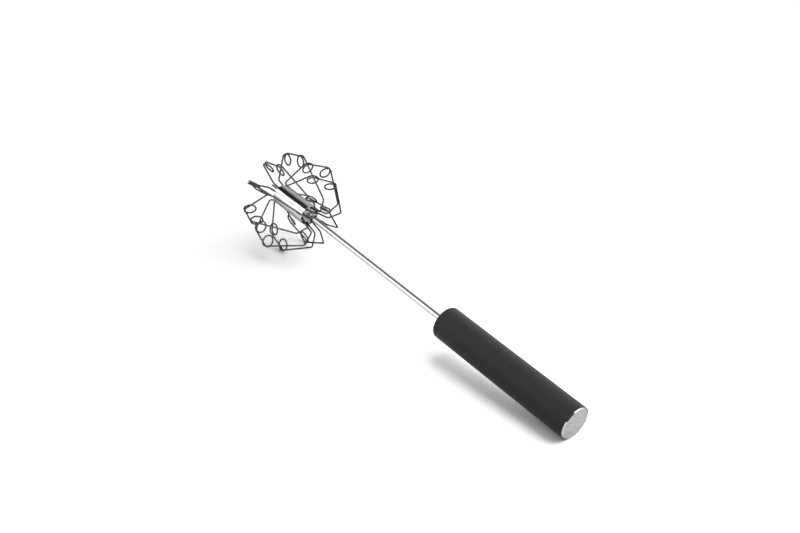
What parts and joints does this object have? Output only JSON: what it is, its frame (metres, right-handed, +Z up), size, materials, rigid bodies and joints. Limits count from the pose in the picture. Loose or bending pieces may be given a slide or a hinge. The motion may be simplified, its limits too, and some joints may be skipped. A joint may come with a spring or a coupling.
{
  "type": "rotary push whisk",
  "caption": "Hand whisk with a round grip: pushing it down spins a rod with a hub of bent, looped wire wings, and a spring returns it.",
  "frame": {"origin": "on the table, under the middle of the box of the whisk as it lies", "axes": "+X along the whisk from the wire head to the handle's end cap, dipping slightly towards the cap, and +Z up"},
  "size_m": [0.359, 0.087, 0.0888],
  "materials": {
    "soft_touch_sleeve": "soft-touch coated, charcoal",
    "brushed_cap_steel": "brushed, with a bright chamfer",
    "polished_rod_steel": "polished stainless steel",
    "wing_wire_steel": "bright drawn stainless wire",
    "spring_steel": "plain spring steel",
    "white_acetal": "moulded, slightly waxy",
    "black_rubber": "moulded rubber"
  },
  "bodies": {
    "handle": {"handle_sleeve": "soft_touch_sleeve", "front_bush": "white_acetal", "handle_core": "white_acetal", "stop_ring": "black_rubber", "return_spring": "spring_steel", "twisted_strip": "spring_steel", "cap_plug": "white_acetal", "cap_seal": "black_rubber", "end_cap": "brushed_cap_steel"},
    "spring_follower": {"thrust_washer": "white_acetal"},
    "spindle": {"drive_nut": "white_acetal", "rod_tube": "polished_rod_steel", "rod_tip": "polished_rod_steel", "hub_tube": "polished_rod_steel", "hub_front_plug": "polished_rod_steel", "hub_rear_plug": "polished_rod_steel", "wire_wing_01": "wing_wire_steel", "wire_wing_02": "wing_wire_steel", "wire_wing_03": "wing_wire_steel", "wire_wing_04": "wing_wire_steel", "wire_wing_05": "wing_wire_steel", "wire_wing_06": "wing_wire_steel", "wire_wing_07": "wing_wire_steel", "wire_wing_08": "wing_wire_steel", "wire_wing_09": "wing_wire_steel", "wire_wing_10": "wing_wire_steel"}
  },
  "joints": [
    {"name": "push", "type": "slide", "parent": "handle", "child": "spring_follower", "axis": [0.9954, 0, -0.0956], "range_m": [0, 0.055], "stiffness_N_per_m": 150, "springref_m": -0.02, "deforming": ["return_spring"]},
    {"name": "spin", "type": "hinge", "parent": "spring_follower", "child": "spindle", "pos_m": [-0.12218, -0.0004, 0.04166], "axis": [0.9954, 0, -0.0956], "range_deg": [0, 551]}
  ],
  "couplings": [
    {"joint": "spin", "follows": "push", "rad_per_m": 174.53}
  ]
}
